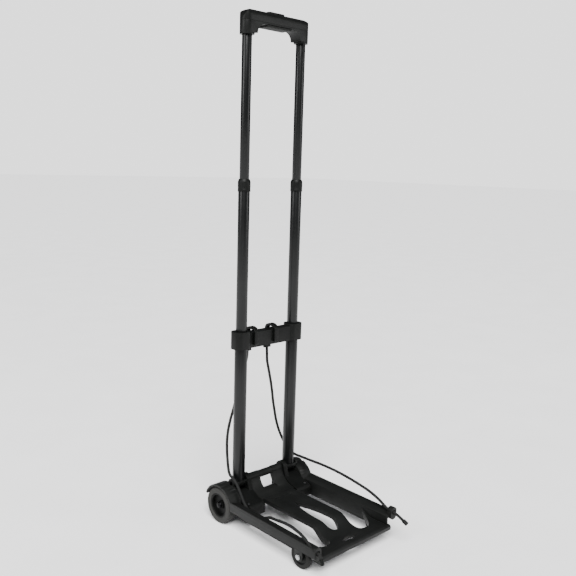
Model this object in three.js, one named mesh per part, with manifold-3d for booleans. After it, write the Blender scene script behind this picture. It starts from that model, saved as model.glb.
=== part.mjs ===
// Folding luggage cart: a moulded load deck on four wheels, with a two-tube telescopic handle that
// folds forward over the deck. Millimetres, +Z up, front of the deck towards -Y, floor at z = 0.
import * as THREE from 'three';
import { mergeVertices } from 'three/addons/utils/BufferGeometryUtils.js';
import Module from 'manifold-3d';

const wasm = await Module();
wasm.setup();

// ---- Driving dimensions -------------------------------------------------------------------------
const GAP = 0.3;
const SIDES = { left: -1, right: 1 };
const REAR_AXLE_Y = 114.4;

const REAR_WHEEL = { radius: 35, tyreInner: 24, width: 23, outerX: 110.5, axleRadius: 4 };
const FRONT_WHEEL = { radius: 23, tyreInner: 15, width: 10, centreX: 98.6, y: -225, rivetRadius: 3 };
const FORK = { innerX: 104.1, outerX: 107.5, halfWidth: 10, top: 52 };

const RAIL = { innerX: 89, outerX: 110, wall: 3.4, topOuter: 55, topInner: 49, skirtOuter: 37, skirtInner: 20 };
const RAIL_FRONT = -262;
const RAIL_REAR = -39;
const CORD_EYE = {
  left: { bottom: 32, top: 57, hole: 46 },
  right: { bottom: 42, top: 66, hole: 56 },
  slot: { rear: -236, front: -258 },
};
const FENDER = { inner: 38, outer: 42, webInner: 82, webOuter: 86, rearAngle: 21 };

const DECK = { top: 48, thickness: 8.5, halfWidth: 38.5, rear: -56, kink: -185 };
const FRONT_BAR = { front: -268, rear: -242, halfWidth: 95, top: 33, bottom: 21.8 };
const HAND_SLOT = { y: -248, halfLength: 20, halfWidth: 6.5, plate: 6.5 };
const GUSSET = { x: 88.6, y: -200, toeX: 60 };
const NECK_DIMPLE = { y: -71, halfLength: 22, halfWidth: 3, depth: 1.6 };
const TEARDROP = { tip: -104, wide: -180, end: -216, halfWidth: 16 };

const FOLD = { y: -10, z: 78, shaftRadius: 4, bossRadius: 9, halfLength: 86.5 };
const WALL = { halfWidth: 44, centreY: -54, centreZ: 86, inner: 38, outer: 46.5, rim: 43 };
const WALL_WINDOW = { halfWidth: 16.5, sill: 52, bossRadius: 7.5 };
const BLOCK = { innerX: 44.3, outerX: 81.6, cheekOuter: 54.2, cheekRadius: 12 };
const SCREW = { x: 76, y: -53, bottom: 36, top: 47, headRadius: 3.4 };

const TUBE = { x: 67, wall: 1.2 };
const OUTER_TUBE = { radius: 12.4, bottom: 82, top: 379.5 };
const MID_TUBE = { radius: 10.9, wall: 1.5, bottom: 326, top: 667 };
const INNER_TUBE = { radius: 9.1, wall: 1.2, bottom: 594, top: 946 };
const CROSSBAR = { bottom: 348.5, collarTop: 382.5, barTop: 378.5, halfDepth: 10, halfLength: 86 };
const COLLAR = { bottom: 648, top: 671, radius: 12 };
const MIDDLE_TRAVEL = 228;
const TOP_TRAVEL = 254;
const LOCK_PIN = { radius: 2.6, upperZ: 612, lowerZ: 335 };

const GRIP = { bottom: 928, seam: 952, top: 972, halfWidth: 80.5, depth: 27, barBottom: 948, filletBottom: 931 };
const PUSH_ROD = { radius: 3, bottom: 620 };
const BUTTON = { halfLength: 20, halfDepth: 6, proud: 1.8, skirt: 11, bridge: 2.5 };

const HOOK = { width: 10, thickness: 5, leftX: -40, rightX: 11, capWidth: 17.5, capDepth: 8.6 };
const CORD = { radius: 2.75, sides: 8 };

// ---- Finishes -----------------------------------------------------------------------------------
const finish = (color, roughness, metalness) => new THREE.MeshStandardMaterial({ color, roughness, metalness });
const moulding = () => finish(0x2b2d2b, 0.5, 0);
const darkMoulding = () => finish(0x1a1c1a, 0.45, 0);
const anodised = () => finish(0x15161a, 0.25, 0.9);
const steel = () => finish(0xb6b8ba, 0.3, 1);
const blackSteel = () => finish(0x202224, 0.35, 0.8);
const rubber = () => finish(0x4b4b49, 0.8, 0);
const elastic = () => finish(0x131413, 0.85, 0);
const softPad = () => finish(0x2f302f, 0.7, 0);

const cart = new THREE.Group();
cart.name = 'folding_luggage_cart';
cart.position.y = REAR_AXLE_Y;

// ---- Shape helpers ------------------------------------------------------------------------------
function toSolid(geometry) {
  const bare = geometry.clone();
  bare.deleteAttribute('normal');
  bare.deleteAttribute('uv');
  const merged = mergeVertices(bare, 1e-4);
  const vertProperties = new Float32Array(merged.attributes.position.array);
  const triVerts = new Uint32Array(merged.index.array);
  return new wasm.Manifold(new wasm.Mesh({ numProp: 3, vertProperties, triVerts }));
}

function toGeometry(solid) {
  const mesh = solid.getMesh();
  const geometry = new THREE.BufferGeometry();
  geometry.setAttribute('position', new THREE.BufferAttribute(mesh.vertProperties, 3));
  geometry.setIndex(new THREE.BufferAttribute(mesh.triVerts, 1));
  geometry.computeVertexNormals();
  return geometry;
}

const join = (...solids) => solids.reduce((all, next) => all.add(next));
const cut = (solid, ...tools) => tools.reduce((all, tool) => all.subtract(tool), solid);

function box(x0, x1, y0, y1, z0, z1) {
  const geometry = new THREE.BoxGeometry(x1 - x0, y1 - y0, z1 - z0);
  geometry.translate((x0 + x1) / 2, (y0 + y1) / 2, (z0 + z1) / 2);
  return toSolid(geometry);
}

// A round bar along X between two x values.
function barX(radius, x0, x1, y, z, segments = 16) {
  const geometry = new THREE.CylinderGeometry(radius, radius, Math.abs(x1 - x0), segments);
  geometry.rotateZ(Math.PI / 2);
  geometry.translate((x0 + x1) / 2, y, z);
  return toSolid(geometry);
}

// A round bar along Z between two heights.
function barZ(radius, x, y, z0, z1, segments = 20) {
  const geometry = new THREE.CylinderGeometry(radius, radius, z1 - z0, segments);
  geometry.rotateX(Math.PI / 2);
  geometry.translate(x, y, (z0 + z1) / 2);
  return toSolid(geometry);
}

function tube(outer, inner, x, y, z0, z1, segments = 20) {
  return cut(barZ(outer, x, y, z0, z1, segments), barZ(inner, x, y, z0 - 1, z1 + 1, segments));
}

// A plan outline (x, y) raised between two heights.
function raise(shape, z0, z1, curveSegments = 6) {
  const geometry = new THREE.ExtrudeGeometry(shape, { depth: z1 - z0, bevelEnabled: false, curveSegments });
  geometry.translate(0, 0, z0);
  return toSolid(geometry);
}

// A side outline (y, z) carried across between two x values.
function across(shape, x0, x1, curveSegments = 6) {
  const geometry = new THREE.ExtrudeGeometry(shape, { depth: x1 - x0, bevelEnabled: false, curveSegments });
  const sideways = new THREE.Matrix4().makeBasis(
    new THREE.Vector3(0, 1, 0),
    new THREE.Vector3(0, 0, 1),
    new THREE.Vector3(1, 0, 0),
  );
  geometry.applyMatrix4(sideways);
  geometry.translate(x0, 0, 0);
  return toSolid(geometry);
}

// A front outline (x, z) carried back between two y values.
function along(shape, y0, y1, curveSegments = 6) {
  const geometry = new THREE.ExtrudeGeometry(shape, { depth: y1 - y0, bevelEnabled: false, curveSegments });
  geometry.rotateX(Math.PI / 2);
  geometry.translate(0, y1, 0);
  return toSolid(geometry);
}

// A profile of (radius, offset along the axle) turned about an axle that runs along X.
function turned(profile, x, y, z, segments = 24) {
  const points = profile.map(([radius, offset]) => new THREE.Vector2(radius, offset));
  const geometry = new THREE.LatheGeometry(points, segments);
  geometry.rotateZ(-Math.PI / 2);
  geometry.translate(x, y, z);
  return toSolid(geometry);
}

function polygon(points) {
  return new THREE.Shape(points.map(([u, v]) => new THREE.Vector2(u, v)));
}

function roundedRectangle(u0, u1, v0, v1, radius) {
  const shape = new THREE.Shape();
  shape.moveTo(u0 + radius, v0);
  shape.lineTo(u1 - radius, v0);
  shape.absarc(u1 - radius, v0 + radius, radius, -Math.PI / 2, 0);
  shape.lineTo(u1, v1 - radius);
  shape.absarc(u1 - radius, v1 - radius, radius, 0, Math.PI / 2);
  shape.lineTo(u0 + radius, v1);
  shape.absarc(u0 + radius, v1 - radius, radius, Math.PI / 2, Math.PI);
  shape.lineTo(u0, v0 + radius);
  shape.absarc(u0 + radius, v0 + radius, radius, Math.PI, 1.5 * Math.PI);
  return shape;
}

function mirrored(solid, side) {
  return side < 0 ? solid.mirror([1, 0, 0]) : solid;
}

function add(name, solid, material) {
  const mesh = new THREE.Mesh(toGeometry(solid), material);
  mesh.name = name;
  cart.add(mesh);
}

// ---- Load deck: two ribs that drop to a front bar, with a teardrop hole and a hand slot ---------
function deckSideOutline() {
  const shape = new THREE.Shape();
  const under = DECK.top - DECK.thickness;
  shape.moveTo(DECK.rear, DECK.top);
  shape.lineTo(DECK.rear, under);
  shape.lineTo(DECK.kink - 2, under);
  shape.bezierCurveTo(DECK.kink - 14, under, DECK.kink - 22, FRONT_BAR.bottom, DECK.kink - 36, FRONT_BAR.bottom);
  shape.lineTo(FRONT_BAR.front + 2, FRONT_BAR.bottom);
  shape.lineTo(FRONT_BAR.front, FRONT_BAR.bottom + 2);
  shape.lineTo(FRONT_BAR.front, FRONT_BAR.top - 3);
  shape.lineTo(FRONT_BAR.front + 3, FRONT_BAR.top);
  shape.lineTo(DECK.kink - 44, FRONT_BAR.top);
  shape.bezierCurveTo(DECK.kink - 22, FRONT_BAR.top, DECK.kink - 18, DECK.top, DECK.kink, DECK.top);
  return shape;
}

function deckPlanOutline() {
  const flare = 12;
  const shape = new THREE.Shape();
  shape.moveTo(-DECK.halfWidth, DECK.rear);
  shape.lineTo(-DECK.halfWidth, FRONT_BAR.rear + flare);
  shape.quadraticCurveTo(-DECK.halfWidth, FRONT_BAR.rear, -DECK.halfWidth - flare, FRONT_BAR.rear);
  shape.lineTo(-GUSSET.toeX, FRONT_BAR.rear);
  shape.quadraticCurveTo(-GUSSET.toeX - 18, FRONT_BAR.rear + 10, -GUSSET.x, GUSSET.y);
  shape.lineTo(-GUSSET.x, FRONT_BAR.rear);
  shape.lineTo(-FRONT_BAR.halfWidth + 2.6, FRONT_BAR.rear);
  shape.lineTo(-FRONT_BAR.halfWidth + 2.6, FRONT_BAR.rear - 8);
  shape.lineTo(-FRONT_BAR.halfWidth, FRONT_BAR.rear - 8);
  shape.lineTo(-FRONT_BAR.halfWidth, FRONT_BAR.front);
  shape.lineTo(FRONT_BAR.halfWidth, FRONT_BAR.front);
  shape.lineTo(FRONT_BAR.halfWidth, FRONT_BAR.rear - 8);
  shape.lineTo(FRONT_BAR.halfWidth - 2.6, FRONT_BAR.rear - 8);
  shape.lineTo(FRONT_BAR.halfWidth - 2.6, FRONT_BAR.rear);
  shape.lineTo(GUSSET.x, FRONT_BAR.rear);
  shape.lineTo(GUSSET.x, GUSSET.y);
  shape.quadraticCurveTo(GUSSET.toeX + 18, FRONT_BAR.rear + 10, GUSSET.toeX, FRONT_BAR.rear);
  shape.lineTo(DECK.halfWidth + flare, FRONT_BAR.rear);
  shape.quadraticCurveTo(DECK.halfWidth, FRONT_BAR.rear, DECK.halfWidth, FRONT_BAR.rear + flare);
  shape.lineTo(DECK.halfWidth, DECK.rear);

  const drop = new THREE.Path();
  drop.moveTo(0, TEARDROP.tip);
  drop.bezierCurveTo(-4, TEARDROP.tip - 6, -TEARDROP.halfWidth, TEARDROP.wide + 40, -TEARDROP.halfWidth, TEARDROP.wide);
  drop.bezierCurveTo(-TEARDROP.halfWidth, TEARDROP.end + 8, -8, TEARDROP.end, 0, TEARDROP.end);
  drop.bezierCurveTo(8, TEARDROP.end, TEARDROP.halfWidth, TEARDROP.end + 8, TEARDROP.halfWidth, TEARDROP.wide);
  drop.bezierCurveTo(TEARDROP.halfWidth, TEARDROP.wide + 40, 4, TEARDROP.tip - 6, 0, TEARDROP.tip);

  const slot = new THREE.Path();
  slot.moveTo(-HAND_SLOT.halfLength, HAND_SLOT.y - 2);
  slot.quadraticCurveTo(0, HAND_SLOT.y - HAND_SLOT.halfWidth - 3, HAND_SLOT.halfLength, HAND_SLOT.y - 2);
  slot.quadraticCurveTo(0, HAND_SLOT.y + 2 * HAND_SLOT.halfWidth, -HAND_SLOT.halfLength, HAND_SLOT.y - 2);
  shape.holes.push(drop, slot);
  return shape;
}

function loadDeck() {
  const side = across(deckSideOutline(), -FRONT_BAR.halfWidth - 1, FRONT_BAR.halfWidth + 1, 8);
  const plan = raise(deckPlanOutline(), 0, DECK.top + 5, 8);
  const { y, halfLength, halfWidth, depth } = NECK_DIMPLE;
  const dimple = raise(
    roundedRectangle(-halfLength, halfLength, y - halfWidth, y + halfWidth, halfWidth - 0.1),
    DECK.top - depth,
    DECK.top + 5,
    3,
  );
  const fingerRoom = box(
    -HAND_SLOT.halfLength - 4,
    HAND_SLOT.halfLength + 4,
    HAND_SLOT.y - 14,
    HAND_SLOT.y + 22,
    0,
    FRONT_BAR.top - HAND_SLOT.plate,
  );
  return cut(side.intersect(plan), dimple, fingerRoom);
}
add('load_deck', loadDeck(), moulding());

// ---- Rear wall: a curved back between the handle tubes, with a window under the fold shaft ------
function rearWall() {
  const back = new THREE.Shape();
  const toe = DECK.rear + GAP;
  back.moveTo(toe, DECK.top);
  back.absarc(WALL.centreY, WALL.centreZ, WALL.inner, -0.5 * Math.PI, 0);
  back.lineTo(WALL.centreY + WALL.rim, WALL.centreZ);
  back.absarc(WALL.centreY, WALL.centreZ, WALL.outer, 0, -0.5 * Math.PI, true);
  back.lineTo(toe, DECK.top - DECK.thickness);
  const w = WALL.halfWidth;
  const windowCut = box(-WALL_WINDOW.halfWidth, WALL_WINDOW.halfWidth, -60, 30, WALL_WINDOW.sill, 100);
  const boss = barX(WALL_WINDOW.bossRadius, -w, w, FOLD.y, FOLD.z);
  const bore = barX(FOLD.shaftRadius + GAP, -w - 1, w + 1, FOLD.y, FOLD.z);
  return cut(join(cut(across(back, -w, w, 8), windowCut), boss), bore);
}
add('rear_wall', rearWall(), moulding());

// ---- Side rails: an inverted channel from the rear fender to the front wheel and cord eye -------
function sideRail(sideName) {
  const channel = polygon([
    [RAIL.innerX, RAIL.skirtInner],
    [RAIL.innerX, RAIL.topInner],
    [RAIL.outerX, RAIL.topOuter],
    [RAIL.outerX, RAIL.skirtOuter],
    [RAIL.outerX - RAIL.wall, RAIL.skirtOuter],
    [RAIL.outerX - RAIL.wall, RAIL.topOuter - RAIL.wall - 0.5],
    [RAIL.innerX + RAIL.wall, RAIL.topInner - RAIL.wall + 0.5],
    [RAIL.innerX + RAIL.wall, RAIL.skirtInner],
  ]);
  const beam = along(channel, RAIL_FRONT, RAIL_REAR + 1);
  const axleZ = REAR_WHEEL.radius;
  const roof = new THREE.Shape();
  const start = THREE.MathUtils.degToRad(FENDER.rearAngle);
  roof.absarc(0, axleZ, FENDER.outer, start, Math.PI * 0.94, false);
  roof.absarc(0, axleZ, FENDER.inner, Math.PI * 0.94, start, true);
  const roofSolid = across(roof, FENDER.webOuter - 0.5, RAIL.outerX, 10);
  const web = new THREE.Shape();
  web.absarc(0, axleZ, FENDER.outer, start, Math.PI, false);
  web.lineTo(RAIL_REAR, axleZ - 12);
  web.lineTo(18, axleZ - 12);
  const webSolid = across(web, FENDER.webInner, FENDER.webOuter, 10);
  const boss = barX(FOLD.bossRadius, FENDER.webInner, FENDER.webOuter, FOLD.y, FOLD.z);
  const shaftBore = barX(FOLD.shaftRadius + GAP, 70, 120, FOLD.y, FOLD.z);
  const axleBore = barX(REAR_WHEEL.axleRadius + GAP, 70, 90, 0, axleZ, 12);
  const fork = roundedRectangle(
    FRONT_WHEEL.y - FORK.halfWidth,
    FRONT_WHEEL.y + FORK.halfWidth,
    FRONT_WHEEL.radius - 8,
    FORK.top,
    FORK.halfWidth - 1,
  );
  const forkSolid = across(fork, FORK.innerX, FORK.outerX, 4);
  const rivetBore = barX(FRONT_WHEEL.rivetRadius + GAP, 80, 120, FRONT_WHEEL.y, FRONT_WHEEL.radius, 12);
  const frontBarNotch = box(80, FRONT_BAR.halfWidth + 2, FRONT_BAR.front - 2, FRONT_BAR.rear + GAP, 10,
    FRONT_BAR.top + GAP);
  const { bottom, top, hole } = CORD_EYE[sideName];
  const eye = roundedRectangle(94, RAIL.outerX, bottom, top, 7.8);
  const eyeSolid = along(eye, RAIL_FRONT - 6, RAIL_FRONT + 4, 5);
  const whole = join(beam, roofSolid, webSolid, boss, forkSolid, eyeSolid);
  const rail = cut(whole, shaftBore, axleBore, rivetBore, frontBarNotch, cordEyeBore(hole));
  return sideName === 'left' ? cut(rail, cordSlot()) : rail;
}

// The left cord drops through a slot in the top of its rail before it reaches the eye.
function cordSlot() {
  const { rear, front } = CORD_EYE.slot;
  return raise(roundedRectangle(97.8, 106.2, front, rear, 4), 44, 60, 4);
}

function cordEyeBore(z) {
  const geometry = new THREE.CylinderGeometry(CORD.radius + 2, CORD.radius + 2, 20, 16);
  geometry.translate(102, RAIL_FRONT - 1, z);
  return toSolid(geometry);
}

// ---- Hinge blocks: carry the rear axle and stand under the handle tubes -------------------------
function hingeBlock() {
  const outline = polygon([
    [14, 27],
    [14, 55],
    [8, 61.5],
    [-26, 61.5],
    [-44, 51],
    [-62, 47],
    [-66, 42],
    [-66, 26],
    [-58, 20],
    [-10, 20],
    [4, 24],
  ]);
  const body = across(outline, BLOCK.innerX, BLOCK.outerX);
  const r = BLOCK.cheekRadius;
  const cheek = new THREE.Shape();
  cheek.moveTo(FOLD.y + r, 50);
  cheek.lineTo(FOLD.y + r, FOLD.z);
  cheek.absarc(FOLD.y, FOLD.z, r, 0, Math.PI, false);
  cheek.lineTo(FOLD.y - r - 10, 50);
  const cheekSolid = across(cheek, BLOCK.innerX, BLOCK.cheekOuter, 8);
  const axleBore = barX(REAR_WHEEL.axleRadius + GAP, 30, 90, 0, REAR_WHEEL.radius, 16);
  const shaftBore = barX(FOLD.shaftRadius + GAP, 30, 60, FOLD.y, FOLD.z);
  return cut(join(body, cheekSolid), axleBore, shaftBore, screwBore());
}

function screwBore() {
  return barZ(SCREW.headRadius + GAP, SCREW.x, SCREW.y, SCREW.bottom, 80, 16);
}

function blockScrew() {
  return barZ(SCREW.headRadius, SCREW.x, SCREW.y, SCREW.bottom + GAP, SCREW.top, 12);
}

// ---- Wheels -------------------------------------------------------------------------------------
function rearTyre() {
  const { radius, tyreInner, width, outerX } = REAR_WHEEL;
  const profile = [
    [tyreInner, 1],
    [radius - 3, 0],
    [radius, 3],
    [radius, width - 3],
    [radius - 3, width],
    [tyreInner, width - 1],
    [tyreInner, 1],
  ];
  return turned(profile, outerX - width, 0, radius, 32);
}

function rearHub() {
  const { radius, tyreInner, width, outerX, axleRadius } = REAR_WHEEL;
  const rim = tyreInner - GAP;
  const profile = [
    [axleRadius + GAP, 3],
    [9, 3],
    [9, 8],
    [rim - 3, 8],
    [rim - 3, 2],
    [rim, 2],
    [rim, width - 2],
    [rim - 3, width - 2],
    [rim - 3, width - 10],
    [8, width - 10],
    [8, width - 6],
    [axleRadius + GAP, width - 6],
    [axleRadius + GAP, 3],
  ];
  return turned(profile, outerX - width, 0, radius, 24);
}

function frontTyre() {
  const { radius, tyreInner, width, centreX, y } = FRONT_WHEEL;
  const profile = [
    [tyreInner, 0.5],
    [radius - 2, 0],
    [radius, 2],
    [radius, width - 2],
    [radius - 2, width],
    [tyreInner, width - 0.5],
    [tyreInner, 0.5],
  ];
  return turned(profile, centreX - width / 2, y, radius, 24);
}

function frontHub() {
  const { radius, tyreInner, width, centreX, y, rivetRadius } = FRONT_WHEEL;
  const rim = tyreInner - GAP;
  const profile = [
    [rivetRadius + GAP, -0.2],
    [6, -0.2],
    [7, 1.5],
    [rim, 1.5],
    [rim, width - 1.5],
    [7, width - 1.5],
    [6, width + 0.2],
    [rivetRadius + GAP, width + 0.2],
    [rivetRadius + GAP, -0.2],
  ];
  return turned(profile, centreX - width / 2, y, radius, 16);
}

function rearAxle() {
  const reach = REAR_WHEEL.outerX - 3.2;
  return barX(REAR_WHEEL.axleRadius, -reach, reach, 0, REAR_WHEEL.radius, 20);
}
add('rear_axle', rearAxle(), steel());

function axleCap() {
  const x = REAR_WHEEL.outerX - 6 + GAP;
  const profile = [
    [0, 0],
    [7, 0],
    [7, 1.6],
    [5.4, 4],
    [0, 4.8],
  ];
  const cap = turned(profile, x, 0, REAR_WHEEL.radius, 20);
  return cut(cap, barX(REAR_WHEEL.axleRadius + GAP, 80, x + 3.6, 0, REAR_WHEEL.radius, 16));
}

function frontRivet() {
  const { radius, y, rivetRadius } = FRONT_WHEEL;
  const headProfile = [
    [0, 0],
    [5, 0],
    [4.8, 1.2],
    [3.4, 2],
    [0, 2.3],
  ];
  const head = turned(headProfile, FORK.outerX + GAP, y, radius, 20);
  const shank = barX(rivetRadius, RAIL.innerX + GAP, FORK.outerX + 2 * GAP, y, radius, 16);
  return join(shank, head);
}

// ---- Handle, lower stage ------------------------------------------------------------------------
add('fold_shaft', barX(FOLD.shaftRadius, -FOLD.halfLength, FOLD.halfLength, FOLD.y, FOLD.z), blackSteel());

function pivotPlug() {
  const head = cut(
    barX(12, TUBE.x - 11.8, TUBE.x + 11.8, FOLD.y, FOLD.z, 28),
    box(0, 120, -40, 30, OUTER_TUBE.bottom - GAP, 100),
  );
  const insert = barZ(OUTER_TUBE.radius - TUBE.wall - GAP, TUBE.x, FOLD.y, FOLD.z, FOLD.z + 19, 24);
  return cut(join(head, insert), barX(FOLD.shaftRadius + GAP, 40, 90, FOLD.y, FOLD.z));
}

function outerTube() {
  const { radius, bottom, top } = OUTER_TUBE;
  const pipe = tube(radius, radius - TUBE.wall, TUBE.x, FOLD.y, bottom, top);
  return cut(pipe, pinHole(LOCK_PIN.lowerZ), pinHole(LOCK_PIN.lowerZ - MIDDLE_TRAVEL));
}

function pinHole(z) {
  return barX(LOCK_PIN.radius + GAP, TUBE.x - 16, TUBE.x, FOLD.y, z, 14);
}

function crossbar() {
  const { bottom, collarTop, barTop, halfDepth, halfLength } = CROSSBAR;
  const ends = [];
  for (const side of Object.values(SIDES)) {
    const plan = roundedRectangle(TUBE.x - 16, halfLength, FOLD.y - 15, FOLD.y + 15, 11);
    const collar = mirrored(raise(plan, bottom, collarTop, 5), side);
    ends.push(collar);
  }
  const reach = TUBE.x - OUTER_TUBE.radius - 1;
  const bar = box(-reach, reach, FOLD.y - halfDepth, FOLD.y + halfDepth, bottom, barTop);
  let whole = join(bar, ...ends);
  for (const side of Object.values(SIDES)) {
    const seat = barZ(OUTER_TUBE.radius + GAP, side * TUBE.x, FOLD.y, bottom - 1, OUTER_TUBE.top + GAP);
    const mouth = barZ(MID_TUBE.radius + GAP, side * TUBE.x, FOLD.y, bottom, collarTop + 1);
    whole = cut(whole, seat, mouth);
  }
  return whole;
}
add('crossbar', crossbar(), darkMoulding());

// ---- Bungee hooks that hang on the crossbar -----------------------------------------------------
function bungeeHook(x) {
  const { bottom, barTop, halfDepth } = CROSSBAR;
  const t = HOOK.thickness;
  const front = FOLD.y - halfDepth - GAP;
  const back = FOLD.y + halfDepth + GAP;
  const crest = barTop + GAP;
  const middle = FOLD.y;
  const reach = (back - front) / 2;
  const arch = new THREE.Shape();
  arch.moveTo(front, bottom + 5);
  arch.lineTo(front, crest - 1);
  arch.absellipse(middle, crest - 1, reach, 6, Math.PI, 0, true);
  arch.lineTo(back, bottom - 8);
  arch.lineTo(back + t, bottom - 8);
  arch.lineTo(back + t, crest - 1);
  arch.absellipse(middle, crest - 1, reach + t, 11, 0, Math.PI, false);
  arch.lineTo(front - t, bottom + 7);
  arch.lineTo(front - t + 2, bottom + 5);
  const band = across(arch, x - HOOK.width / 2, x + HOOK.width / 2, 8);
  const capY = back + t / 2;
  const halfCap = HOOK.capWidth / 2;
  const halfCapDepth = HOOK.capDepth / 2;
  const capPlan = roundedRectangle(x - halfCap, x + halfCap, capY - halfCapDepth, capY + halfCapDepth, 4);
  const cap = raise(capPlan, bottom - 11, bottom - 1, 4);
  const cordBore = barZ(CORD.radius + GAP, x, capY, bottom - 12, bottom - 3.5, 12);
  return cut(join(band, cap), cordBore);
}
add('bungee_hook_left', bungeeHook(HOOK.leftX), darkMoulding());
add('bungee_hook_right', bungeeHook(HOOK.rightX), darkMoulding());

// ---- Handle, middle stage -----------------------------------------------------------------------
function midTube() {
  const { radius, wall, bottom, top } = MID_TUBE;
  const pipe = tube(radius, radius - wall, TUBE.x, FOLD.y, bottom, top);
  const storedPin = LOCK_PIN.upperZ - TOP_TRAVEL;
  return cut(pipe, pinHole(LOCK_PIN.upperZ), pinHole(storedPin), pinHole(LOCK_PIN.lowerZ));
}

function midCollar() {
  const { bottom, top, radius } = COLLAR;
  const height = top - bottom;
  const profile = [
    [0, 0],
    [radius - 0.8, 0],
    [radius, 1.5],
    [radius, height - 6],
    [radius - 1.6, height],
    [0, height],
  ];
  const points = profile.map(([r, h]) => new THREE.Vector2(r, h));
  const geometry = new THREE.LatheGeometry(points, 20);
  geometry.rotateX(Math.PI / 2);
  geometry.translate(TUBE.x, FOLD.y, bottom);
  const seat = barZ(MID_TUBE.radius + GAP, TUBE.x, FOLD.y, bottom - 1, MID_TUBE.top + GAP, 24);
  const mouth = barZ(INNER_TUBE.radius + GAP, TUBE.x, FOLD.y, bottom, top + 1, 24);
  return cut(toSolid(geometry), seat, mouth);
}

// Drawn withdrawn, with its nose just inside its own tube, so that the handle is free to slide.
function lockPin(z, outerRadius) {
  const tip = TUBE.x - outerRadius + 0.2;
  const shank = barX(LOCK_PIN.radius, tip + 0.8, TUBE.x - 5, FOLD.y, z, 14);
  const nose = barX(LOCK_PIN.radius - 0.7, tip, tip + 1, FOLD.y, z, 14);
  return join(shank, nose);
}

// ---- Handle, top stage --------------------------------------------------------------------------
function innerTube() {
  const { radius, wall, bottom, top } = INNER_TUBE;
  return cut(tube(radius, radius - wall, TUBE.x, FOLD.y, bottom, top), pinHole(LOCK_PIN.upperZ));
}

function gripOutline(bottom, top, radius) {
  const shape = new THREE.Shape();
  const w = GRIP.halfWidth;
  shape.moveTo(-w, bottom);
  shape.lineTo(w, bottom);
  shape.lineTo(w, top - radius);
  shape.absarc(w - radius, top - radius, radius, 0, Math.PI / 2, false);
  shape.lineTo(-w + radius, top);
  shape.absarc(-w + radius, top - radius, radius, Math.PI / 2, Math.PI, false);
  return shape;
}

// The whole grip as seen from the end and from above: a round-topped bar with half-round ends.
function gripEnvelope() {
  const half = GRIP.depth / 2;
  const end = roundedRectangle(FOLD.y - half, FOLD.y + half, GRIP.bottom - 20, GRIP.top, half - 1.5);
  const plan = roundedRectangle(-GRIP.halfWidth, GRIP.halfWidth, FOLD.y - half, FOLD.y + half, half - 0.1);
  const width = GRIP.halfWidth + 5;
  return across(end, -width, width, 5).intersect(raise(plan, GRIP.bottom - 5, GRIP.top + 5, 6));
}

function gripUpperShell() {
  const body = along(gripOutline(GRIP.seam, GRIP.top, 18.9), FOLD.y - 20, FOLD.y + 20, 8);
  const hollow = box(-54, 54, FOLD.y - 9, FOLD.y + 9, GRIP.seam - 1, GRIP.top - 4.5);
  const rodRoom = box(-73, 73, FOLD.y - 6, FOLD.y + 6, GRIP.seam - 1, GRIP.top - 6);
  const slot = box(
    -BUTTON.halfLength - GAP,
    BUTTON.halfLength + GAP,
    FOLD.y - BUTTON.halfDepth - GAP,
    FOLD.y + BUTTON.halfDepth + GAP,
    GRIP.seam,
    GRIP.top + 1,
  );
  return cut(body.intersect(gripEnvelope()), hollow, rodRoom, slot);
}
add('grip_upper_shell', gripUpperShell(), darkMoulding());

function gripLowerShell() {
  const bar = along(gripOutline(GRIP.filletBottom, GRIP.seam - GAP, 0.5), FOLD.y - 20, FOLD.y + 20, 3);
  const fingerGap = along(
    roundedRectangle(-TUBE.x + 14, TUBE.x - 14, GRIP.bottom - 40, GRIP.barBottom, 17),
    FOLD.y - 30,
    FOLD.y + 30,
    6,
  );
  const padSeat = box(-30 - GAP, 30 + GAP, FOLD.y - 30, FOLD.y + 30, GRIP.bottom, GRIP.barBottom + 1.5);
  let shell = cut(bar.intersect(gripEnvelope()), fingerGap, padSeat);
  for (const side of Object.values(SIDES)) {
    const x = side * TUBE.x;
    const socket = barZ(GRIP.depth / 2, x, FOLD.y, GRIP.bottom, GRIP.seam - GAP, 28);
    const seat = barZ(INNER_TUBE.radius + GAP, x, FOLD.y, GRIP.bottom - 1, INNER_TUBE.top + GAP, 24);
    const rodBore = barZ(PUSH_ROD.radius + GAP, x, FOLD.y, GRIP.bottom, GRIP.top, 12);
    shell = cut(join(shell, socket), seat, rodBore);
  }
  return shell;
}
add('grip_lower_shell', gripLowerShell(), darkMoulding());

function gripPad() {
  const outline = roundedRectangle(-30, 30, GRIP.barBottom - 3, GRIP.barBottom + 1.2, 1.8);
  return along(outline, FOLD.y - 12.5, FOLD.y + 12.5, 3);
}
add('grip_pad', gripPad(), softPad());

function releaseButton() {
  const { halfLength, halfDepth, proud, skirt } = BUTTON;
  const outline = roundedRectangle(-halfLength, halfLength, FOLD.y - halfDepth, FOLD.y + halfDepth, 5);
  const cap = raise(outline, GRIP.top - skirt, GRIP.top + proud, 4);
  const bridgeZ = GRIP.top - skirt;
  const bridge = box(-TUBE.x - 4, TUBE.x + 4, FOLD.y - 4, FOLD.y + 4, bridgeZ - BUTTON.bridge, bridgeZ + 0.5);
  return join(cap, bridge);
}

function pushRod() {
  const top = GRIP.top - BUTTON.skirt - BUTTON.bridge - GAP;
  return barZ(PUSH_ROD.radius, TUBE.x, FOLD.y, PUSH_ROD.bottom, top, 12);
}

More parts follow.
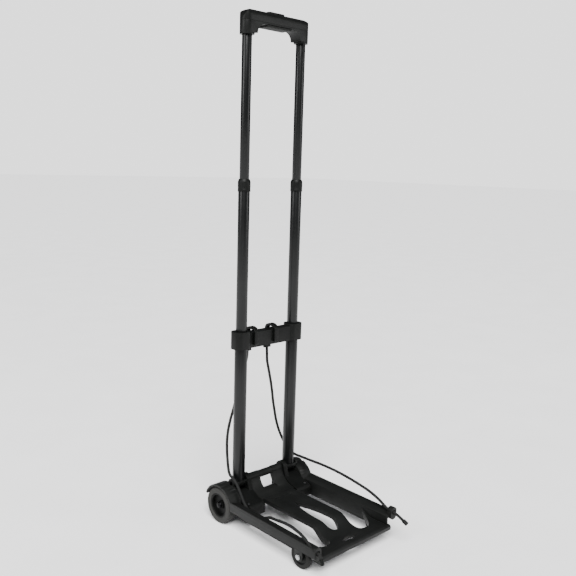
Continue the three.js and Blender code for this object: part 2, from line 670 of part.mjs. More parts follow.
// ---- Cords --------------------------------------------------------------------------------------
// Points along each elastic cord: from its hook down to the fold line, then along the deck to its eye.
const CORD_POINTS = {
  upper_right: [
    [11, 2.8, 344.5],
    [11, 2.8, 336],
    [12, 3.2, 324],
    [14.5, 4.6, 307],
    [21.7, 7, 286],
    [30, 10, 262],
    [36.5, 12, 239],
    [41, 13, 216],
    [46.2, 13.5, 194],
    [52.5, 14, 170],
    [61, 13.4, 146],
    [70.5, 11.2, 125],
    [78.2, 7, 111],
    [82.4, 1.8, 103.6],
    [83.58, -0.92, 100.53],
  ],
  lower_right: [
    [83.62, -1.08, 100.27],
    [84.5, -3.4, 97],
    [87.4, -12, 93.8],
    [90, -24, 92.8],
    [90.8, -42, 92.9],
    [91, -58.7, 93.4],
    [91.6, -81, 94.1],
    [92.5, -108, 93.7],
    [94, -134.4, 91.7],
    [95.5, -160.3, 88.2],
    [97, -185.6, 83.8],
    [98.5, -210.3, 78],
    [100, -231, 70],
    [101.4, -246, 61],
    [102, -256.5, 56.4],
    [102, -267, 56],
    [102.6, -278, 52.8],
    [103.6, -289, 47.5],
  ],
  upper_left: [
    [-40, 2.8, 344.5],
    [-40, 2.8, 336],
    [-41, 3.2, 323],
    [-44.5, 5.2, 305],
    [-51, 8, 281],
    [-57.5, 11, 250],
    [-64, 12.8, 222],
    [-71.2, 14, 198],
    [-76.3, 14, 177],
    [-79.3, 13, 157],
    [-80.3, 11.2, 137],
    [-81.2, 8, 119],
    [-83.1, 3.4, 107],
    [-84.19, 0.07, 100.53],
  ],
  lower_left: [
    [-84.21, -0.07, 100.27],
    [-84.58, -1.88, 96.89],
    [-85, -7, 92.4],
    [-85.2, -16, 89.4],
    [-85.1, -25, 83],
    [-84.9, -33, 73.5],
    [-84.9, -40.5, 63.5],
    [-85, -47.5, 54],
    [-85.2, -56, 46.5],
    [-85.4, -66, 41.2],
    [-85.5, -79, 38.8],
    [-85.5, -92, 39.2],
    [-85.6, -107, 42.6],
    [-85.7, -119, 48],
    [-86.6, -129, 52.4],
    [-88.6, -138, 54.4],
    [-90.3, -148, 56.6],
    [-93, -165, 60.6],
    [-96, -184, 64],
    [-98, -199, 65],
    [-99.5, -213, 64],
    [-100.5, -225, 62],
    [-101.4, -234, 59.6],
    [-102, -241, 55.6],
    [-102, -248, 50.6],
    [-102, -255.5, 46.7],
    [-102, -262, 46.1],
    [-102, -267, 46],
    [-102, -271, 45],
    [-102.1, -274.3, 42.8],
    [-102.2, -275.8, 39.5],
  ],
};

function cordTube(points) {
  const curve = new THREE.CatmullRomCurve3(points.map((p) => new THREE.Vector3(...p)));
  const section = new THREE.Shape();
  for (let i = 0; i <= CORD.sides; i += 1) {
    const angle = (i / CORD.sides) * 2 * Math.PI;
    const u = CORD.radius * Math.cos(angle);
    const v = CORD.radius * Math.sin(angle);
    if (i === 0) section.moveTo(u, v);
    else section.lineTo(u, v);
  }
  const steps = Math.round(curve.getLength() / (CORD.radius * 5.2));
  const options = { steps, extrudePath: curve, bevelEnabled: false };
  return toSolid(new THREE.ExtrudeGeometry(section, options));
}
for (const [name, points] of Object.entries(CORD_POINTS)) {
  add(`cord_${name}`, cordTube(points), elastic());
}

// A cap crimped over the cord's tail, in line with its last stretch.
function cordCap(points) {
  const last = new THREE.Vector3(...points[points.length - 1]);
  const before = new THREE.Vector3(...points[points.length - 2]);
  const direction = last.clone().sub(before).normalize();
  const geometry = new THREE.CylinderGeometry(4, 3.6, 11, 14);
  const turn = new THREE.Quaternion().setFromUnitVectors(new THREE.Vector3(0, 1, 0), direction);
  geometry.applyQuaternion(turn);
  const centre = last.clone().addScaledVector(direction, 5.5 + GAP);
  geometry.translate(centre.x, centre.y, centre.z);
  return toSolid(geometry);
}
add('cord_cap_left', cordCap(CORD_POINTS.lower_left), darkMoulding());
add('cord_cap_right', cordCap(CORD_POINTS.lower_right), darkMoulding());

// ---- Pieces that come in a left and right pair --------------------------------------------------
const PAIRS = [
  ['side_rail', sideRail, moulding],
  ['hinge_block', hingeBlock, darkMoulding],
  ['block_screw', blockScrew, steel],
  ['rear_tyre', rearTyre, rubber],
  ['rear_hub', rearHub, darkMoulding],
  ['front_tyre', frontTyre, rubber],
  ['front_hub', frontHub, darkMoulding],
  ['axle_cap', axleCap, blackSteel],
  ['front_rivet', frontRivet, steel],
  ['pivot_plug', pivotPlug, darkMoulding],
  ['outer_tube', outerTube, anodised],
  ['mid_tube', midTube, anodised],
  ['mid_collar', midCollar, darkMoulding],
  ['lower_lock_pin', () => lockPin(LOCK_PIN.lowerZ, MID_TUBE.radius), steel],
  ['upper_lock_pin', () => lockPin(LOCK_PIN.upperZ, INNER_TUBE.radius), steel],
  ['inner_tube', innerTube, anodised],
  ['push_rod', pushRod, blackSteel],
];
for (const [name, make, material] of PAIRS) {
  for (const [sideName, side] of Object.entries(SIDES)) {
    add(`${name}_${sideName}`, mirrored(make(sideName), side), material());
  }
}

add('release_button', releaseButton(), darkMoulding());

export default cart;
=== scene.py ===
import math
import bpy
from mathutils import Matrix, Vector


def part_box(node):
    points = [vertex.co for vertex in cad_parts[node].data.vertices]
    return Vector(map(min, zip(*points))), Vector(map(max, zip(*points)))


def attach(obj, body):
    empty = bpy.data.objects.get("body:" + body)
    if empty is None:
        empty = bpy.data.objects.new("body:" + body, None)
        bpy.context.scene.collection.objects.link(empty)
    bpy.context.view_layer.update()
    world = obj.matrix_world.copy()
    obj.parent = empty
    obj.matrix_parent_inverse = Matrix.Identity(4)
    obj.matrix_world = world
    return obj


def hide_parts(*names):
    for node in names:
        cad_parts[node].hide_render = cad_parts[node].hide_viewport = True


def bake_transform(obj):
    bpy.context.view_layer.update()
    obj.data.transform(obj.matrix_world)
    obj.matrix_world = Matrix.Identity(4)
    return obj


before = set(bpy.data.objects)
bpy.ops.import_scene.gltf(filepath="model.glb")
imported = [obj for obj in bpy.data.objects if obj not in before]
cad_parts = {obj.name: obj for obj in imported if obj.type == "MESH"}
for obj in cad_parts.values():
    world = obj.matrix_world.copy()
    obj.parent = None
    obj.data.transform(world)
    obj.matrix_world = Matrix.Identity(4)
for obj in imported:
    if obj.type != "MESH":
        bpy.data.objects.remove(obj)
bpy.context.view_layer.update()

mm = 0.001
sides = {"left": -1, "right": 1}
rearAxleY = 114.4 * mm      # the deck is laid out from its rear axle, which is this far behind the centre


# Helpers: selection, making, modifiers

def clearSelection():
    if bpy.context.object and bpy.context.object.mode != "OBJECT":
        bpy.ops.object.mode_set(mode="OBJECT")
    bpy.ops.object.select_all(action="DESELECT")


def activate(piece):
    clearSelection()
    piece.select_set(True)
    bpy.context.view_layer.objects.active = piece


def placeInMesh(piece):
    activate(piece)
    bpy.ops.object.transform_apply(location=True, rotation=True, scale=True)


def modify(piece, kind, **settings):
    activate(piece)
    modifier = piece.modifiers.new(kind.title(), kind)
    for key, value in settings.items():
        setattr(modifier, key, value)
    bpy.ops.object.modifier_apply(modifier=modifier.name)


def soften(piece, width, segments=3, angle=32):
    modify(piece, "BEVEL", width=width * mm, segments=segments, limit_method="ANGLE",
           angle_limit=math.radians(angle))


def smooth(piece, angle=34):
    activate(piece)
    bpy.ops.object.shade_smooth_by_angle(angle=math.radians(angle))


def fromNode(cadNode, name):
    clearSelection()
    piece = bpy.data.objects.new(name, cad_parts[cadNode].data.copy())
    bpy.context.scene.collection.objects.link(piece)
    activate(piece)
    bpy.ops.object.mode_set(mode="EDIT")
    bpy.ops.mesh.select_all(action="SELECT")
    bpy.ops.mesh.remove_doubles(threshold=0.00001)
    bpy.ops.mesh.dissolve_limited(angle_limit=math.radians(1))
    bpy.ops.object.mode_set(mode="OBJECT")
    return piece


def carve(piece, cutter):
    modify(piece, "BOOLEAN", operation="DIFFERENCE", object=cutter, solver="EXACT")
    bpy.data.objects.remove(cutter, do_unlink=True)


def rod(name, radius, start, end, vertices=48):
    a, b = Vector(start), Vector(end)
    clearSelection()
    bpy.ops.mesh.primitive_cylinder_add(vertices=vertices, radius=radius, depth=(b - a).length)
    piece = bpy.context.object
    piece.name = name
    turn = Vector((0, 0, 1)).rotation_difference(b - a).to_matrix().to_4x4()
    piece.matrix_world = Matrix.Translation((a + b) / 2) @ turn
    placeInMesh(piece)
    return piece


def slab(name, low, high):
    a, b = Vector(low), Vector(high)
    clearSelection()
    bpy.ops.mesh.primitive_cube_add(size=1, location=(a + b) / 2)
    piece = bpy.context.object
    piece.name = name
    piece.scale = b - a
    placeInMesh(piece)
    return piece


def turned(name, profile, centre, axis="X", steps=96):
    clearSelection()
    bpy.ops.mesh.primitive_circle_add(vertices=len(profile), radius=1)
    piece = bpy.context.object
    piece.name = name
    for vertex, (radius, offset) in zip(piece.data.vertices, profile):
        vertex.co = (offset * mm, 0, radius * mm) if axis == "X" else (radius * mm, 0, offset * mm)
    bpy.ops.object.mode_set(mode="EDIT")
    bpy.ops.mesh.select_all(action="SELECT")
    bpy.ops.mesh.spin(steps=steps, angle=2 * math.pi, center=(0, 0, 0),
                      axis=(1, 0, 0) if axis == "X" else (0, 0, 1))
    bpy.ops.mesh.select_all(action="SELECT")
    bpy.ops.mesh.remove_doubles(threshold=0.00002)
    bpy.ops.mesh.dissolve_degenerate(threshold=0.00002)
    bpy.ops.mesh.normals_make_consistent(inside=False)
    bpy.ops.object.mode_set(mode="OBJECT")
    piece.location = centre
    placeInMesh(piece)
    return piece


def mirrorX(piece):
    activate(piece)
    for vertex in piece.data.vertices:
        vertex.co.x = -vertex.co.x
    bpy.ops.object.mode_set(mode="EDIT")
    bpy.ops.mesh.select_all(action="SELECT")
    bpy.ops.mesh.flip_normals()
    bpy.ops.object.mode_set(mode="OBJECT")
    return piece


def keep(piece, body, material, nodes=(), angle=34):
    smooth(piece, angle)
    piece.data.materials.clear()
    piece.data.materials.append(material)
    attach(piece, body)
    if nodes:
        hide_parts(*nodes)
    return piece


# Materials

def linear(hexColour):
    channels = [int(hexColour[i:i + 2], 16) / 255 for i in (1, 3, 5)]
    flat = [c / 12.92 if c <= 0.04045 else ((c + 0.055) / 1.055) ** 2.4 for c in channels]
    return (*flat, 1.0)


def node(tree, kind, settings=None, **inputs):
    made = tree.nodes.new(kind)
    for key, value in (settings or {}).items():
        if key == "stops":
            for element, (position, colour) in zip(made.color_ramp.elements, value):
                element.position, element.color = position, colour
        else:
            setattr(made, key, value)
    for key, value in inputs.items():
        numbered = key[0] == "i" and key[1:].isdigit()
        socket = made.inputs[int(key[1:]) if numbered else key.replace("_", " ")]
        if isinstance(value, bpy.types.NodeSocket):
            tree.links.new(value, socket)
        else:
            socket.default_value = value
    return made


def blankMaterial(name):
    material = bpy.data.materials.new(name)
    material.use_nodes = True
    material.node_tree.nodes.clear()
    return material, material.node_tree


def mouldedPlastic(name, dark, light, grain, roughLow, roughHigh, specular):
    # Injection moulded plastic: a fine spark-eroded grain, cloudy flow marks and a few rubbed scuffs.
    material, tree = blankMaterial(name)
    place = node(tree, "ShaderNodeTexCoord").outputs["Object"]
    flow = node(tree, "ShaderNodeTexNoise", Vector=place, Scale=28.0, Detail=4.0, Roughness=0.6)
    fine = node(tree, "ShaderNodeTexNoise", Vector=place, Scale=1000.0 / grain, Detail=2.0, Roughness=0.7)
    stretched = node(tree, "ShaderNodeMapping", Vector=place, Scale=(1.0, 0.22, 1.0))
    scuff = node(tree, "ShaderNodeTexNoise", Vector=stretched.outputs["Vector"], Scale=420.0, Detail=3.0,
                 Roughness=0.8)
    base = node(tree, "ShaderNodeValToRGB", {"stops": ((0.34, linear(dark)), (0.68, linear(light)))},
                Fac=flow.outputs["Fac"]).outputs["Color"]
    rubbed = node(tree, "ShaderNodeMapRange", Value=scuff.outputs["Fac"], From_Min=0.66, From_Max=0.78)
    colour = node(tree, "ShaderNodeMix", {"data_type": "RGBA", "blend_type": "ADD"},
                  i0=rubbed.outputs["Result"], i6=base, i7=linear("#0c0d0c"))
    rough = node(tree, "ShaderNodeMapRange", Value=fine.outputs["Fac"], From_Min=0.3, From_Max=0.7,
                 To_Min=roughLow, To_Max=roughHigh)
    relief = node(tree, "ShaderNodeBump", Height=fine.outputs["Fac"], Strength=0.12, Distance=0.0004)
    surface = node(tree, "ShaderNodeBsdfPrincipled", Base_Color=colour.outputs[2],
                   Roughness=rough.outputs["Result"], Normal=relief.outputs["Normal"], Specular_IOR_Level=specular)
    node(tree, "ShaderNodeOutputMaterial", Surface=surface.outputs["BSDF"])
    return material


def anodisedAluminium(name):
    # Drawn aluminium tube, dyed black and sealed: long soft highlights that vary along the draw lines.
    material, tree = blankMaterial(name)
    place = node(tree, "ShaderNodeTexCoord").outputs["Object"]
    drawn = node(tree, "ShaderNodeMapping", Vector=place, Scale=(1.0, 1.0, 0.01))
    lines = node(tree, "ShaderNodeTexNoise", Vector=drawn.outputs["Vector"], Scale=260.0, Detail=3.0,
                 Roughness=0.7)
    cloud = node(tree, "ShaderNodeTexNoise", Vector=place, Scale=18.0, Detail=3.0)
    colour = node(tree, "ShaderNodeValToRGB", {"stops": ((0.35, linear("#080909")), (0.7, linear("#0e0f0f")))},
                  Fac=cloud.outputs["Fac"]).outputs["Color"]
    rough = node(tree, "ShaderNodeMapRange", Value=lines.outputs["Fac"], From_Min=0.3, From_Max=0.7,
                 To_Min=0.26, To_Max=0.34)
    surface = node(tree, "ShaderNodeBsdfPrincipled", Base_Color=colour, Roughness=rough.outputs["Result"],
                   Specular_IOR_Level=0.3)
    node(tree, "ShaderNodeOutputMaterial", Surface=surface.outputs["BSDF"])
    return material


def tyreRubber(name, dark, light):
    # Solid moulded tyre: matt, dusty grey, a little lighter where it has rolled.
    material, tree = blankMaterial(name)
    place = node(tree, "ShaderNodeTexCoord").outputs["Object"]
    dust = node(tree, "ShaderNodeTexNoise", Vector=place, Scale=60.0, Detail=5.0, Roughness=0.7)
    fine = node(tree, "ShaderNodeTexNoise", Vector=place, Scale=2200.0, Detail=2.0)
    colour = node(tree, "ShaderNodeValToRGB", {"stops": ((0.32, linear(dark)), (0.72, linear(light)))},
                  Fac=dust.outputs["Fac"]).outputs["Color"]
    rough = node(tree, "ShaderNodeMapRange", Value=dust.outputs["Fac"], To_Min=0.62, To_Max=0.86)
    relief = node(tree, "ShaderNodeBump", Height=fine.outputs["Fac"], Strength=0.25, Distance=0.0003)
    surface = node(tree, "ShaderNodeBsdfPrincipled", Base_Color=colour, Roughness=rough.outputs["Result"],
                   Normal=relief.outputs["Normal"], Specular_IOR_Level=0.2)
    node(tree, "ShaderNodeOutputMaterial", Surface=surface.outputs["BSDF"])
    return material


def platedSteel(name, dark, light, roughLow=0.24, roughHigh=0.42):
    # Zinc plated or blacked steel: a metal with light turning marks and small cloudy stains.
    material, tree = blankMaterial(name)
    place = node(tree, "ShaderNodeTexCoord").outputs["Object"]
    stain = node(tree, "ShaderNodeTexNoise", Vector=place, Scale=160.0, Detail=4.0, Roughness=0.65)
    fine = node(tree, "ShaderNodeTexNoise", Vector=place, Scale=1500.0, Detail=2.0)
    colour = node(tree, "ShaderNodeValToRGB", {"stops": ((0.35, linear(dark)), (0.65, linear(light)))},
                  Fac=stain.outputs["Fac"]).outputs["Color"]
    rough = node(tree, "ShaderNodeMapRange", Value=stain.outputs["Fac"], To_Min=roughLow, To_Max=roughHigh)
    relief = node(tree, "ShaderNodeBump", Height=fine.outputs["Fac"], Strength=0.08, Distance=0.0002)
    surface = node(tree, "ShaderNodeBsdfPrincipled", Base_Color=colour, Roughness=rough.outputs["Result"],
                   Normal=relief.outputs["Normal"], Metallic=1.0)
    node(tree, "ShaderNodeOutputMaterial", Surface=surface.outputs["BSDF"])
    return material


def braidedElastic(name):
    # Woven polyester sleeve over rubber: two families of yarns cross at a slant; real yarns are about
    # 0.5 mm wide, drawn at 1.4 mm so that the weave shows.
    material, tree = blankMaterial(name)
    along = node(tree, "ShaderNodeUVMap", {"uv_map": "sleeve"})
    split = node(tree, "ShaderNodeSeparateXYZ", Vector=along.outputs["UV"])
    yarnsAround, yarnsPerMetre = 8.0, 1.0 / 0.0028
    phases = []
    for direction in (1, -1):
        lapped = node(tree, "ShaderNodeMath", {"operation": "MULTIPLY"}, i0=split.outputs["X"],
                      i1=direction * yarnsAround)
        length = node(tree, "ShaderNodeMath", {"operation": "MULTIPLY"}, i0=split.outputs["Y"],
                      i1=yarnsPerMetre)
        total = node(tree, "ShaderNodeMath", {"operation": "ADD"}, i0=lapped.outputs[0], i1=length.outputs[0])
        wave = node(tree, "ShaderNodeMath", {"operation": "MULTIPLY"}, i0=total.outputs[0], i1=2 * math.pi)
        phases.append(node(tree, "ShaderNodeMath", {"operation": "SINE"}, i0=wave.outputs[0]).outputs[0])
    weave = node(tree, "ShaderNodeMath", {"operation": "MAXIMUM"}, i0=phases[0], i1=phases[1])
    colour = node(tree, "ShaderNodeValToRGB", {"stops": ((0.1, linear("#050505")), (1.0, linear("#171817")))},
                  Fac=weave.outputs[0]).outputs["Color"]
    relief = node(tree, "ShaderNodeBump", Height=weave.outputs[0], Strength=0.5, Distance=0.0004)
    surface = node(tree, "ShaderNodeBsdfPrincipled", Base_Color=colour, Roughness=0.8,
                   Normal=relief.outputs["Normal"], Specular_IOR_Level=0.3)
    node(tree, "ShaderNodeOutputMaterial", Surface=surface.outputs["BSDF"])
    return material


deckPlastic = mouldedPlastic("mouldedPolypropylene", "#0d0e0d", "#131413", 0.9, 0.44, 0.56, specular=0.18)
blackPlastic = mouldedPlastic("mouldedNylon", "#070807", "#0c0d0c", 0.8, 0.4, 0.52, specular=0.14)
gripPlastic = mouldedPlastic("texturedAbs", "#080908", "#0e0f0e", 0.7, 0.36, 0.48, specular=0.18)
hubPlastic = mouldedPlastic("mouldedHubNylon", "#060706", "#0a0b0a", 0.8, 0.42, 0.55, specular=0.12)
padRubber = tyreRubber("softTouchRubber", "#101110", "#181918")
wheelRubber = tyreRubber("solidTyreRubber", "#262625", "#31312f")
frontRubber = tyreRubber("smallTyreRubber", "#121211", "#1a1a19")
tubeMetal = anodisedAluminium("blackAnodisedAluminium")
zincSteel = platedSteel("zincPlatedSteel", "#a9abac", "#c9cacb")
blackSteel = platedSteel("blackOxideSteel", "#0c0c0d", "#161617", 0.34, 0.5)
sleeve = braidedElastic("braidedElasticSleeve")
print("materials made")


# Camera, floor and lights

def makeCamera():
    place = {"yaw": 43.4, "down": 9.5, "roll": 1.7, "focus": 730.1,
             "x": -942.8, "y": -1062.6, "z": 697.6}
    yaw, down, roll = (math.radians(place[key]) for key in ("yaw", "down", "roll"))
    ahead = Vector((math.sin(yaw) * math.cos(down), math.cos(yaw) * math.cos(down), -math.sin(down)))
    right = Vector((math.cos(yaw), -math.sin(yaw), 0))
    up = right.cross(ahead)
    rolledRight = right * math.cos(roll) + up * math.sin(roll)
    rolledUp = up * math.cos(roll) - right * math.sin(roll)
    data = bpy.data.cameras.new("studioCamera")
    data.sensor_width = 36
    data.lens = 36 * place["focus"] / 576
    camera = bpy.data.objects.new("studioCamera", data)
    bpy.context.scene.collection.objects.link(camera)
    turn = Matrix((rolledRight, rolledUp, -ahead)).transposed().to_4x4()
    where = Vector((place["x"], place["y"], place["z"])) * mm + Vector((0, rearAxleY, 0))
    camera.matrix_world = Matrix.Translation(where) @ turn
    bpy.context.scene.camera = camera


def makeStudio():
    clearSelection()
    bpy.ops.mesh.primitive_plane_add(size=60, location=(0, 0, -0.0005))
    floor = bpy.context.object
    floor.name = "studioFloor"
    material, tree = blankMaterial("paleFloor")
    place = node(tree, "ShaderNodeTexCoord").outputs["Object"]
    speckle = node(tree, "ShaderNodeTexNoise", Vector=place, Scale=6.0, Detail=2.0)
    colour = node(tree, "ShaderNodeValToRGB", {"stops": ((0.3, linear("#f6f6f6")), (0.7, linear("#fafafa")))},
                  Fac=speckle.outputs["Fac"]).outputs["Color"]
    surface = node(tree, "ShaderNodeBsdfPrincipled", Base_Color=colour, Roughness=0.9, Specular_IOR_Level=0.1)
    node(tree, "ShaderNodeOutputMaterial", Surface=surface.outputs["BSDF"])
    floor.data.materials.append(material)
    world = bpy.data.worlds.new("softStudio")
    bpy.context.scene.world = world
    world.use_nodes = True
    tree = world.node_tree
    tree.nodes.clear()
    seen = node(tree, "ShaderNodeBackground", Color=linear("#ffffff"), Strength=2.0)
    fill = node(tree, "ShaderNodeBackground", Color=linear("#f4f6ff"), Strength=0.12)
    direct = node(tree, "ShaderNodeLightPath").outputs["Is Camera Ray"]
    both = node(tree, "ShaderNodeMixShader", i0=direct, i1=fill.outputs[0], i2=seen.outputs[0])
    node(tree, "ShaderNodeOutputWorld", Surface=both.outputs[0])
    lights = {"sunLight": {"kind": "SUN", "at": (-1.4, -1.5, 3.0), "power": 7.6, "spread": 40},
              "fillLight": {"kind": "AREA", "at": (1.9, -2.4, 1.4), "power": 25, "spread": 1.3},
              "rimLight": {"kind": "AREA", "at": (-2.4, 0.6, 1.6), "power": 30, "spread": 1.0}}
    for name, light in lights.items():
        data = bpy.data.lights.new(name, light["kind"])
        data.energy = light["power"]
        if light["kind"] == "SUN":
            data.angle = math.radians(light["spread"])
        else:
            data.size = light["spread"]
        lamp = bpy.data.objects.new(name, data)
        bpy.context.scene.collection.objects.link(lamp)
        lamp.location = light["at"]
        lamp.rotation_euler = (Vector((0, 0, 0.4)) - lamp.location).to_track_quat("-Z", "Y").to_euler()


makeCamera()
makeStudio()
print("camera, floor and lights set")


# Elastic cords: one sleeve from each hook, past the fold, to its eye at the front

cord = {"radius": 2.75, "around": 20, "capRadius": 4.0, "capLength": 11.0}
cordRoutes = {
    "right": [
             (11, 2.8, 344.5), (11, 2.8, 336), (12, 3.2, 324), (14.5, 4.6, 307), (21.7, 7, 286),
             (30, 10, 262), (36.5, 12, 239), (41, 13, 216), (46.2, 13.5, 194), (52.5, 14, 170),
             (61, 13.4, 146), (70.5, 11.2, 125), (78.2, 7, 111), (82.4, 1.8, 103.6), (83.6, -1, 100.4),
             (84.5, -3.4, 97), (87.4, -12, 93.8), (90, -24, 92.8), (90.8, -42, 92.9), (91, -58.7, 93.4),
             (91.6, -81, 94.1), (92.5, -108, 93.7), (94, -134.4, 91.7), (95.5, -160.3, 88.2),
             (97, -185.6, 83.8), (98.5, -210.3, 78), (100, -231, 70), (101.4, -246, 61),
             (102, -256.5, 56.4), (102, -267, 56), (102.6, -278, 52.8), (103.6, -289, 47.5)],
    "left": [
             (-40, 2.8, 344.5), (-40, 2.8, 336), (-41, 3.2, 323), (-44.5, 5.2, 305), (-51, 8, 281),
             (-57.5, 11, 250), (-64, 12.8, 222), (-71.2, 14, 198), (-76.3, 14, 177), (-79.3, 13, 157),
             (-80.3, 11.2, 137), (-81.2, 8, 119), (-83.1, 3.4, 107), (-84.2, 0, 100.4),
             (-84.58, -1.88, 96.89), (-85, -7, 92.4), (-85.2, -16, 89.4), (-85.1, -25, 83),
             (-84.9, -33, 73.5), (-84.9, -40.5, 63.5), (-85, -47.5, 54), (-85.2, -56, 46.5),
             (-85.4, -66, 41.2), (-85.5, -79, 38.8), (-85.5, -92, 39.2), (-85.6, -107, 42.6),
             (-85.7, -119, 48), (-86.6, -129, 52.4), (-88.6, -138, 54.4), (-90.3, -148, 56.6),
             (-93, -165, 60.6), (-96, -184, 64), (-98, -199, 65), (-99.5, -213, 64), (-100.5, -225, 62),
             (-101.4, -234, 59.6), (-102, -241, 55.6), (-102, -248, 50.6), (-102, -255.5, 46.7),
             (-102, -262, 46.1), (-102, -267, 46), (-102, -271, 45), (-102.1, -274.3, 42.8),
             (-102.2, -275.8, 39.5)]}


def alongCurve(points, spacing):
    knots = [Vector(p) * mm + Vector((0, rearAxleY, 0)) for p in points]
    knots = [2 * knots[0] - knots[1]] + knots + [2 * knots[-1] - knots[-2]]
    fine = []
    for a, b, c, d in zip(knots, knots[1:], knots[2:], knots[3:]):
        pieces = max(2, round((c - b).length / spacing))
        for i in range(pieces):
            t = i / pieces
            fine.append(0.5 * (2 * b + (c - a) * t + (2 * a - 5 * b + 4 * c - d) * t ** 2
                               + (3 * b - a - 3 * c + d) * t ** 3))
    fine.append(knots[-2])
    return fine


def sleeveTube(name, path, radius, around):
    verts, faces, uvs = [], [], []
    side = Vector((1, 0, 0))
    travelled = [0.0]
    for a, b in zip(path, path[1:]):
        travelled.append(travelled[-1] + (b - a).length)
    for i, point in enumerate(path):
        ahead = (path[min(i + 1, len(path) - 1)] - path[max(i - 1, 0)]).normalized()
        side = (side - ahead * side.dot(ahead)).normalized()
        other = ahead.cross(side)
        for k in range(around):
            angle = 2 * math.pi * k / around
            verts.append(point + radius * (side * math.cos(angle) + other * math.sin(angle)))
    for i in range(len(path) - 1):
        for k in range(around):
            after = (k + 1) % around
            faces.append((i * around + k, i * around + after, (i + 1) * around + after, (i + 1) * around + k))
            left, right = k / around, (k + 1) / around
            here, there = travelled[i], travelled[i + 1]
            uvs += [(left, here), (right, here), (right, there), (left, there)]
    last = (len(path) - 1) * around
    faces.append(tuple(reversed(range(around))))
    faces.append(tuple(last + k for k in range(around)))
    uvs += [(0, 0)] * (2 * around)
    mesh = bpy.data.meshes.new(name)
    mesh.from_pydata(verts, [], faces)
    layer = mesh.uv_layers.new(name="sleeve")
    for corner, value in zip(layer.data, uvs):
        corner.uv = value
    piece = bpy.data.objects.new(name, mesh)
    bpy.context.scene.collection.objects.link(piece)
    return piece, travelled[-1]


def makeCords():
    for side in sides:
        path = alongCurve(cordRoutes[side], 3 * mm)
        tube, length = sleeveTube(f"elasticCord_{side}", path, cord["radius"] * mm, cord["around"])
        ahead = (path[-1] - path[-2]).normalized()
        start = path[-1] + ahead * 0.3 * mm
        end = start + ahead * (cord["capLength"] - 0.6) * mm
        cap = rod(f"cordCap_{side}", cord["capRadius"] * mm, start, end, 32)
        soften(cap, 1.1, 4)
        smooth(tube, 60)
        tube.data.materials.append(sleeve)
        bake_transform(tube)
        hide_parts(f"cord_upper_{side}", f"cord_lower_{side}")
        keep(cap, "base", blackPlastic, [f"cord_cap_{side}"])
        hook = fromNode(f"bungee_hook_{side}", f"cordHook_{side}")
        soften(hook, 0.7, 3)
        keep(hook, "lower_stage", blackPlastic, [f"bungee_hook_{side}"])


makeCords()
print("cords made")


# Handle tubes, collars and crossbar

def makeTubes():
    tubes = {"outer_tube": {"wall": 1.2, "body": "lower_stage"},
             "mid_tube": {"wall": 1.5, "body": "middle_stage"},
             "inner_tube": {"wall": 1.2, "body": "top_stage"}}
    for name, tube in tubes.items():
        for side in sides:
            low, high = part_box(f"{name}_{side}")
            centre = (low + high) / 2
            radius = (high.x - low.x) / 2
            foot, head = (centre.x, centre.y, low.z), (centre.x, centre.y, high.z)
            piece = rod(f"{name}Drawn_{side}", radius, foot, head, 72)
            bore = rod("bore", radius - tube["wall"] * mm, (centre.x, centre.y, low.z - mm),
                       (centre.x, centre.y, high.z + mm), 72)
            carve(piece, bore)
            soften(piece, 0.3, 2, 60)
            keep(piece, tube["body"], tubeMetal, [f"{name}_{side}"])


def makeCollars():
    collar = {"grooves": 2, "groove": 0.25}
    for side in sides:
        low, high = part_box(f"mid_collar_{side}")
        centre = (low + high) / 2
        outer = (high.x - low.x) / 2 / mm
        height = (high.z - low.z) / mm
        profile = [(11.2, 0.3), (11.4, 0), (outer - 0.3, 0), (outer, 0.3)]
        for i in range(collar["grooves"]):
            z = 4 + 2.4 * i
            profile += [(outer, z), (outer - collar["groove"], z + 0.4), (outer - collar["groove"], z + 0.9),
                        (outer, z + 1.3)]
        profile += [(outer, height - 6), (outer - 0.2, height - 4.5), (outer - 1.5, height - 0.6),
                    (outer - 2.0, height), (9.8, height), (9.4, height - 0.5),
                    (9.4, height - 3.7), (11.2, height - 3.7)]
        piece = turned(f"stepCollar_{side}", profile, (centre.x, centre.y, low.z), axis="Z", steps=72)
        keep(piece, "middle_stage", blackPlastic, [f"mid_collar_{side}"], 28)


def makeCrossbar():
    piece = fromNode("crossbar", "tubeCrossbar")
    soften(piece, 0.9, 3)
    keep(piece, "lower_stage", blackPlastic, ["crossbar"])
    for side in sides:
        plug = fromNode(f"pivot_plug_{side}", f"tubePivot_{side}")
        soften(plug, 0.5, 2)
        keep(plug, "lower_stage", blackPlastic, [f"pivot_plug_{side}"])


makeTubes()
makeCollars()
makeCrossbar()
print("handle tubes and crossbar made")


# Grip and release button

def makeGrip():
    shells = {"grip_upper_shell": {"name": "gripUpperShell", "edge": 1.6},
              "grip_lower_shell": {"name": "gripLowerShell", "edge": 0.8}}
    for cadNode, part in shells.items():
        shell = fromNode(cadNode, part["name"])
        soften(shell, part["edge"], 4)
        keep(shell, "top_stage", gripPlastic, [cadNode])
    pad = fromNode("grip_pad", "gripPad")
    soften(pad, 0.8, 3)
    keep(pad, "top_stage", padRubber, ["grip_pad"])
    button = fromNode("release_button", "releaseButton")
    soften(button, 0.7, 3)
    groove = {"at": (-6, 0, 6), "halfWidth": 0.6, "depth": 0.5}
    low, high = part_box("release_button")
    for x in groove["at"]:
        left, right = (x - groove["halfWidth"]) * mm, (x + groove["halfWidth"]) * mm
        bed = high.z - groove["depth"] * mm
        carve(button, slab("groove", (left, low.y, bed), (right, high.y, high.z + mm)))
    keep(button, "release_set", gripPlastic, ["release_button"])


makeGrip()
print("grip made")


# Deck, rails, wall and blocks

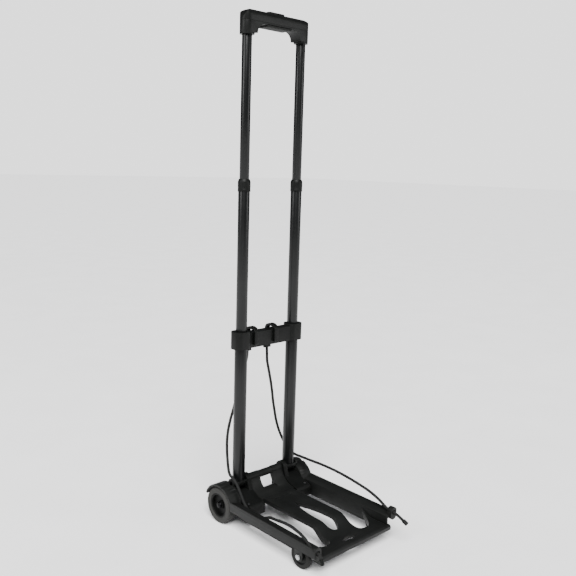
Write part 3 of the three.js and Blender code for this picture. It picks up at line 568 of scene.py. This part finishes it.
def makeBase():
    deck = fromNode("load_deck", "loadDeck")
    soften(deck, 1.1, 3)
    keep(deck, "base", deckPlastic, ["load_deck"])
    wall = fromNode("rear_wall", "rearWall")
    soften(wall, 1.0, 3)
    keep(wall, "base", deckPlastic, ["rear_wall"])
    for side in sides:
        rail = fromNode(f"side_rail_{side}", f"sideRail_{side}")
        soften(rail, 0.9, 3)
        keep(rail, "base", deckPlastic, [f"side_rail_{side}"])
        block = fromNode(f"hinge_block_{side}", f"hingeBlock_{side}")
        soften(block, 1.5, 4)
        keep(block, "base", blackPlastic, [f"hinge_block_{side}"])


makeBase()
print("deck and rails made")


# Wheels

def makeWheels():
    rearTyre = [(24, 1.4), (24.4, 0.8), (30, 0.5), (32.4, 0.2), (34, 1.2), (34.9, 3.2), (35, 5),
                (35, 7), (34.3, 7.5), (34.3, 8.2), (35, 8.7), (35, 14.3), (34.3, 14.8), (34.3, 15.5),
                (35, 16), (35, 18), (34.9, 19.8), (34, 21.8), (32.4, 22.8), (30, 22.5), (24.4, 22.2),
                (24, 21.6)]
    rearHub = [(4.3, 3), (9, 3), (9, 8), (20.4, 8), (20.7, 2.6), (21.3, 2), (23.2, 2), (23.7, 2.5),
               (23.7, 20.5), (23.2, 21), (21.3, 21), (20.7, 20.4), (20.2, 13.4), (19.4, 13), (9, 13),
               (8.4, 13.4), (8, 16.6), (7.4, 17), (4.3, 17)]
    frontTyre = [(15, 0.6), (15.6, 0.2), (20.4, 0.1), (22.1, 0.8), (23, 2.6), (23, 7.4), (22.1, 9.2),
                 (20.4, 9.9), (15.6, 9.8), (15, 9.4)]
    frontHub = [(3.3, -0.2), (6, -0.2), (6.8, 0.4), (7.4, 1.8), (13, 1.9), (13.6, 1.2), (14.2, 0.9),
                (14.7, 1.3), (14.7, 8.7), (14.2, 9.1), (13.6, 8.8), (13, 8.1), (7.4, 8.2), (6.8, 9.6),
                (6, 10.2), (3.3, 10.2)]
    for side, sign in sides.items():
        for kind, profiles in (("rear", (rearTyre, rearHub)), ("front", (frontTyre, frontHub))):
            low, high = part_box(f"{kind}_tyre_{side}")
            centre = (low + high) / 2
            inner = low.x if sign > 0 else -high.x
            rubber = wheelRubber if kind == "rear" else frontRubber
            looks = (("tyre", "tyre_tread", rubber), ("hub", "wheel_hub", hubPlastic))
            for profile, (part, slot, material) in zip(profiles, looks):
                piece = turned(f"{kind}Wheel{part.title()}_{side}", profile, (inner, centre.y, centre.z))
                if sign < 0:
                    mirrorX(piece)
                keep(piece, f"{kind}_wheel_{side}", material, [f"{kind}_{part}_{side}"], 30)


makeWheels()
print("wheels made")


# CAD nodes that keep their own shape and only get a material

def dressNode(name, material):
    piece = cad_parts[name]
    piece.data.materials.clear()
    piece.data.materials.append(material)


dressNode("fold_shaft", blackSteel)
dressNode("rear_axle", zincSteel)
for side in sides:
    looks = {"push_rod": blackSteel, "axle_cap": blackSteel, "lower_lock_pin": blackSteel,
             "upper_lock_pin": zincSteel, "front_rivet": zincSteel, "block_screw": zincSteel}
    for name, material in looks.items():
        dressNode(f"{name}_{side}", material)
